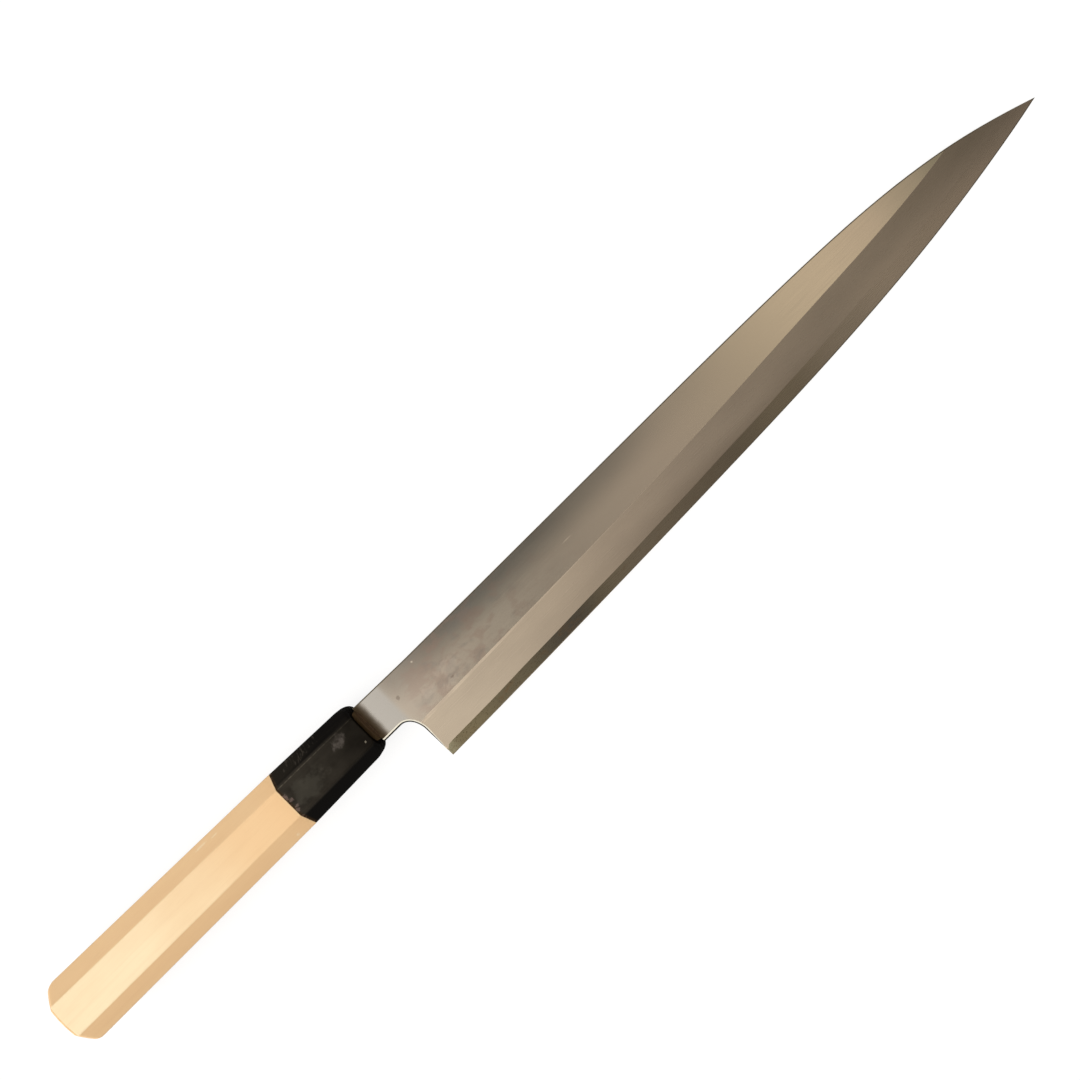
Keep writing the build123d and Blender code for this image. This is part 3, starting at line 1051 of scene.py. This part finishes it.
def grip_corners(x, left=handle_length):
    """Corners across the grip at a place, drawn in where little is left to the butt."""
    share = (x - butt_x) / (joint_x - butt_x)
    spine_side = between(butt_spine_side, joint_spine_side, share)
    edge_side = between(butt_edge_side, joint_edge_side, share)
    top = between(butt_thickness / 2, joint_top, share)
    cut = between(butt_bevel, joint_bevel, share) + math.sqrt(2) * round_over(butt_cut_round, left)
    cut_line = (spine_side + top - cut, edge_side + top - cut)
    spine_side -= round_over(butt_spine_round, left)
    edge_side -= round_over(butt_edge_round, left)
    return octagon_corners(spine_side, edge_side, top - round_over(butt_top_round, left), cut_line)


def dome_x(y, z):
    """Place along the knife of the domed end, by how far off the handle's axis it is."""
    off_axis = math.hypot(y - butt_axis_y, z)
    return butt_x + butt_dome_radius - math.sqrt(butt_dome_radius ** 2 - off_axis ** 2)


def grip_row(share, left):
    """Outline round the grip, share of the way from the joint to a row left from the butt."""
    near = rounded_outline(grip_corners(joint_x), arris_round)
    far = rounded_outline(grip_corners(butt_x, left), arris_round)
    row = []
    for (near_y, near_z), (far_y, far_z) in zip(near, far):
        x = between(joint_x, dome_x(far_y, far_z) + left, share)
        back = (joint_x - x) / (joint_x - butt_x)
        row.append((x, between(near_y, far_y, back), between(near_z, far_z, back)))
    return row


eased_shoulder = [
    (joint_x, between(y, butt_axis_y, joint_ease / joint_edge_side), z * (1 - joint_ease / joint_top))
    for x, y, z in grip_row(0.0, butt_spine_round)
]
grip_shares = np.linspace(first_grip_share, 1, grip_steps + 1)
grip_rows = [eased_shoulder, *(grip_row(share, butt_spine_round) for share in grip_shares)]
for turn in np.linspace(0, math.pi / 2, rim_steps + 1)[1:]:
    grip_rows.append(grip_row(1.0, butt_spine_round * (1 - math.sin(turn))))
rim_row = grip_rows[-1]
for scale in np.linspace(1, 0, dome_steps + 1)[1:]:
    row = []
    for _, y, z in rim_row:
        y, z = butt_axis_y + (y - butt_axis_y) * scale, z * scale
        row.append((dome_x(y, z), y, z))
    grip_rows.append(row)
seal_half = (seal_height / 2, seal_width / 2)


def oblong_row(x, shrink, like):
    """Rounded oblong of the tang's seal, its points in the directions of another row's."""
    half_y, half_z = seal_half[0] - shrink, seal_half[1] - shrink
    corner = max(least_seal_corner, seal_corner - shrink)
    row = []
    for _, y, z in like:
        turn = math.atan2(z, y - mouth_axis_y)
        out = Vector((math.cos(turn), math.sin(turn)))
        low, high = 0.0, half_y + half_z
        for _ in range(halvings):
            middle = (low + high) / 2
            over_y = max(0.0, abs(out.x * middle) - half_y + corner)
            over_z = max(0.0, abs(out.y * middle) - half_z + corner)
            if math.hypot(over_y, over_z) > corner:
                high = middle
            else:
                low = middle
        row.append((x, mouth_axis_y + out.x * low, out.y * low))
    return row


shoulder = grip_rows[0]
tenon_rows = [
    oblong_row(-seal_depth, 0.0, shoulder),
    oblong_row(-tenon_recess, 0.0, shoulder),
    round_row(-tenon_recess, tenon_front_radius - tenon_ease, mouth_axis_y, shoulder),
    round_row(-tenon_recess - tenon_ease, tenon_front_radius, mouth_axis_y, shoulder),
    round_row(joint_x, tenon_back_radius, joint_axis_y, shoulder),
]
grip_skin = strips([*tenon_rows, *grip_rows], closed=True) + [tenon_rows[0]]
grip_faces = []
for face in grip_skin:
    at_mouth = min(corner[0] for corner in face) > -seal_depth - tenon_ease
    at_butt = max(corner[0] - dome_x(*corner[1:]) for corner in face) < end_grain_depth
    grip_faces.append((face, "burnt" if at_mouth else "end grain" if at_butt else "wood"))


def sanded_magnolia():
    """Bare magnolia: tan with faint straight grain, and a painted sheen that leaves its broad faces pale
    cream towards the butt.
    """
    finish = Finish("sanded_magnolia")
    finish.base = colour(254, 238, 203)
    # Painted sheen: pale cream on the broad faces towards the butt; chamfers, sides and the part by the
    # ferrule keep the wood's tan.
    tan = finish.along((-140, 0.0), (-106, 0.03), (-78, 0.4), (-50, 0.88), (-34.8, 1.0))
    level = finish.maths("ADD", finish.maths("ABSOLUTE", finish.z), finish.times(finish.x, 0.0075))
    off_broad_faces = finish.fade(level, 9.62, 9.3, 0.0, 0.9)
    finish.tone((241, 207, 162), finish.maths("MAXIMUM", tan, off_broad_faces))
    mottle = finish.cloud(9, stretch=(3.5, 1, 1), detail=3, seed=19)
    finish.tone((226, 184, 138), finish.fade(mottle, 0.35, 0.7, 0.0, 0.16))
    rings = finish.cloud(1.3, stretch=(70, 1, 1), detail=3, seed=15)
    finish.tone((212, 172, 122), finish.fade(rings, 0.5, 0.8, 0.0, 0.1))
    fibres = finish.cloud(0.22, stretch=(50, 1, 1), detail=3, seed=16)
    finish.tone((196, 156, 110), finish.fade(fibres, 0.55, 0.85, 0.0, 0.16))
    rubbed_arrises = ((-67, 9.6, 5, 0.7, 9.6), (-61, 9.1, 3, 0.5, 9.1))
    finish.blots((250, 232, 204), 0.6, (-41.3, -10.4, 1.4, 0.9, -10.4), *rubbed_arrises)
    finish.tone((244, 222, 180), finish.fade(finish.x, joint_x - 0.7, joint_x - 0.2, 0.0, 0.5))
    return finish.worked(fibres, (0.5, 0.62), (0.1, 0.03), glint=0.15)


def end_grain():
    """Butt end of the wood: rings about a heart below the handle, and fine pores."""
    finish = Finish("end_grain")
    off_heart = finish.vector("SUBTRACT", finish.place, Vector((0, *heart_of_tree)))
    radius = finish.length(finish.vector("MULTIPLY", off_heart, Vector((0, 1, 1))))
    wander = finish.fade(finish.cloud(14, detail=1, seed=52), 0.0, 1.0, -3.0, 3.0)
    turns = finish.times(finish.maths("ADD", radius, wander), 2 * math.pi / ring_width)
    finish.base = colour(233, 200, 154)
    finish.tone((208, 166, 118), finish.fade(finish.maths("SINE", turns), 0.1, 1.0, 0.0, 0.3))
    pores = finish.cloud(0.28, detail=2, seed=53)
    finish.tone((190, 150, 104), finish.fade(pores, 0.55, 0.75, 0.0, 0.3))
    return finish.worked(pores, (0.55, 0.7), (0.15, 0.04), glint=0.15)


def burnt_magnolia():
    """End grain of the tenon, charred brown where the hot tang was burnt in."""
    marks = {"size": 0.9, "detail": 5, "seed": 23}
    tones = (78, 62, 45), (98, 79, 58)
    return two_toned("burnt_magnolia", *tones, (0.7, 0.85), (0.3, 0.08), 0.0, 0.2, **marks)


grip_finishes = {"wood": sanded_magnolia(), "end grain": end_grain(), "burnt": burnt_magnolia()}
grip = piece_of("magnolia_grip", grip_faces, grip_finishes, 35)
keep_flat(grip)
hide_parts("magnolia_handle")


# Seal: dark resin run in round the tang at the mouth of its slot, which keeps water out
# of the wood. It climbs the neck a little, as it did when it was poured.
seal_proud = 0.7
seal_in_slot = ((-seal_depth, 0.05), (0.0, 0.03))
seal_profile = (*seal_in_slot, (0.18, 0.2), (0.35, 0.42), (0.52, 0.6), (seal_proud, 0.68))
seal_rows = [oblong_row(x, shrink, shoulder) for x, shrink in seal_profile]
seal_skin = strips(seal_rows, closed=True) + [seal_rows[0], seal_rows[-1]]


def poured_resin():
    """Dark brown resin with a soft skin and small dimples."""
    dimples = {"size": 0.8, "detail": 3, "seed": 17, "toned": (0.35, 0.7)}
    tones = (94, 77, 57), (78, 63, 46)
    return two_toned("poured_resin", *tones, (0.45, 0.6), (0.3, 0.1), 0.0, 0.2, **dimples)


seal = piece_of("tang_seal_resin", [(face, "resin") for face in seal_skin], {"resin": poured_resin()}, 35)
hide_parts("tang_seal")


# Setting for the picture, which is no part of the knife: a pale table that the knife
# rests on with its tip and the ferrule's lower edge, soft light, and the camera.
table_size = 20000.0
camera_height = 335.0
camera_x = 84.99
camera_y = 2.34
camera_turn = -44.844
camera_pixels_per_tangent = 988.0
photo_pixels = 1080
sensor_width = 36.0

table_gap = 0.02
rest_x = -front_rim_round
rest_z = -front_thickness / 2 - table_gap
lean = math.atan((back_z - rest_z) / (tip_x - rest_x))
table_mesh = bpy.data.meshes.new("table")
half = table_size / 2
table_corners = []
for x, y in ((-half, -half), (half, -half), (half, half), (-half, half)):
    table_corners.append(placed(x, y, rest_z + (x - rest_x) * math.tan(lean) - table_gap))
table_mesh.from_pydata(table_corners, [], [(0, 1, 2, 3)])
table = bpy.data.objects.new("table", table_mesh)
bpy.context.scene.collection.objects.link(table)


def pale_table():
    """Pale matt table. The eye and reflections see it white, with the knife's shadow."""
    finish = Finish("pale_table")
    tooth = finish.cloud(3.0, detail=3, seed=18)
    finish.set("Base Color", finish.mixed(tooth, (0.44, 0.38, 0.31, 1), (0.46, 0.40, 0.33, 1)))
    finish.set("Roughness", 0.9)
    white = finish.add("ShaderNodeBsdfDiffuse", {"Color": (0.18, 0.185, 0.19, 1)}).outputs[0]
    glow = finish.add("ShaderNodeEmission", {"Color": (0.86, 0.86, 0.86, 1)}).outputs[0]
    white = finish.add("ShaderNodeAddShader", {0: white, 1: glow}).outputs[0]
    seen = finish.add("ShaderNodeLightPath").outputs
    by_eye = finish.maths("MAXIMUM", seen["Is Camera Ray"], seen["Is Glossy Ray"])
    by_eye = finish.maths("MAXIMUM", by_eye, seen["Is Transmission Ray"])
    bounced = finish.shader.outputs[0]
    table_top = finish.add("ShaderNodeMixShader", {0: by_eye, 1: bounced, 2: white}).outputs[0]
    from_below = finish.add("ShaderNodeNewGeometry").outputs["Backfacing"]
    under = finish.times(seen["Is Camera Ray"], from_below)
    clear = finish.add("ShaderNodeBsdfTransparent").outputs[0]
    surface = finish.add("ShaderNodeMixShader", {0: under, 1: table_top, 2: clear}).outputs[0]
    finish.tree.links.new(surface, finish.tree.nodes["Material Output"].inputs["Surface"])
    return finish.material


table_mesh.materials.append(pale_table())

# Light of the room by its angle from straight up, in degrees: over the flat face, and
# lower down on the edge side, which the bevel mirrors.
over_flat = (
    (-50, (1.71, 1.57, 1.38)), (-22, (1.39, 1.27, 1.14)), (-12, (1.04, 0.96, 0.88)),
    (-8, (0.63, 0.58, 0.48)), (-2, (0.27, 0.24, 0.21)), (4, (0.50, 0.43, 0.35)),
    (10, (0.58, 0.48, 0.40)), (17, (0.55, 0.47, 0.34)), (20, (1.20, 1.00, 0.72)),
    (25, (1.02, 0.83, 0.61)), (31, (0.38, 0.31, 0.26)), (60, (0.48, 0.42, 0.36)),
)
over_bevel = (
    (-50, (1.43, 1.21, 1.00)), (-22, (1.30, 1.12, 0.90)), (-12, (1.09, 0.99, 0.86)),
    (-7, (0.98, 0.85, 0.69)), (0, (0.72, 0.60, 0.48)), (5, (0.50, 0.42, 0.35)),
    (10, (0.37, 0.30, 0.25)), (16, (0.32, 0.27, 0.22)), (26, (0.27, 0.23, 0.18)),
    (34, (0.19, 0.15, 0.12)), (60, (0.27, 0.23, 0.19)),
)
brightest = 2.0
window_light = (0.5, 0.49, 0.48)
side_light = (0.34, 0.30, 0.26, 1.0)
horizon_light = (0.62, 0.59, 0.56, 1.0)
backdrop_white = (1.0, 1.0, 1.0, 1.0)
flat_to_bevel = (-5, -15)
past_spine = (8, 30)
past_edge = (-32, -50)
window_top = (-28, -42)
window_foot = (-86, -70)
window_jambs = (34, 14)
horizon_height = (0.14, 0.02)

world = bpy.data.worlds.new("soft_room")
bpy.context.scene.world = world
world.use_nodes = True
room = Nodes(world.node_tree)
toward = room.add("ShaderNodeTexCoord").outputs["Generated"]
toward_x, toward_y, toward_z = room.add("ShaderNodeSeparateXYZ", {0: toward}).outputs
upward = room.maths("MAXIMUM", toward_z, 0.0001)
angle_x = room.maths("DEGREES", room.maths("ARCTAN2", toward_x, upward))
angle_y = room.maths("DEGREES", room.maths("ARCTAN2", toward_y, upward))


def light_along(stops):
    """Light by its angle along the knife. A ramp holds no more than 1, hence the scaling."""
    dimmed = [(angle, [level / brightest for level in levels]) for angle, levels in stops]
    return room.scaled(room.ramp(angle_x, dimmed), brightest)


light = room.mixed(room.fade(angle_y, *flat_to_bevel), light_along(over_flat), light_along(over_bevel))
to_sides = room.maths("ADD", room.fade(angle_y, *past_spine), room.fade(angle_y, *past_edge))
light = room.mixed(to_sides, light, side_light)
in_window = room.times(room.fade(angle_x, *window_top), room.fade(angle_x, *window_foot))
in_window = room.times(in_window, room.fade(room.maths("ABSOLUTE", angle_y), *window_jambs))
light = room.vector("ADD", light, room.scaled(window_light, in_window))
low = room.fade(toward_z, *horizon_height)
light = room.mixed(low, light, horizon_light)
seen = room.add("ShaderNodeLightPath").outputs
mirrored = room.maths("MAXIMUM", seen["Is Glossy Ray"], seen["Is Transmission Ray"])
backdrop = room.maths("MAXIMUM", room.times(mirrored, low), seen["Is Camera Ray"])
light = room.mixed(backdrop, light, backdrop_white)
room.join(room.tree.nodes["Background"].inputs["Color"], light)

# Diffused lamp in front of the window. Nothing mirrors it, since its glare would hide the
# finish of the steel.
lamp_angle = math.radians(-57)
lamp_side = 0.1
lamp_distance = 12.0
lamp_width = 5.9
lamp_height = 9.4
lamp_watts = 1285.0
lamp_data = bpy.data.lights.new("window_lamp", "AREA")
lamp_data.shape = "RECTANGLE"
lamp_data.size = lamp_width
lamp_data.size_y = lamp_height
lamp_data.energy = lamp_watts
lamp_data.color = (1.0, 0.985, 0.97)
lamp = bpy.data.objects.new("window_lamp", lamp_data)
lamp_direction = Vector((math.sin(lamp_angle), lamp_side, math.cos(lamp_angle))).normalized()
lamp.location = knife_origin + lamp_direction * lamp_distance
lamp.rotation_euler = lamp_direction.to_track_quat("Z", "Y").to_euler()
lamp.visible_glossy = False
lamp.visible_camera = False
bpy.context.scene.collection.objects.link(lamp)

camera_data = bpy.data.cameras.new("camera")
camera_data.sensor_width = sensor_width
camera_data.lens = sensor_width * camera_pixels_per_tangent / photo_pixels
camera = bpy.data.objects.new("camera", camera_data)
camera.location = placed(camera_x, camera_y, camera_height)
camera.rotation_euler = (0.0, 0.0, math.radians(camera_turn))
bpy.context.scene.collection.objects.link(camera)
bpy.context.scene.camera = camera
bpy.context.scene.view_settings.view_transform = "Standard"
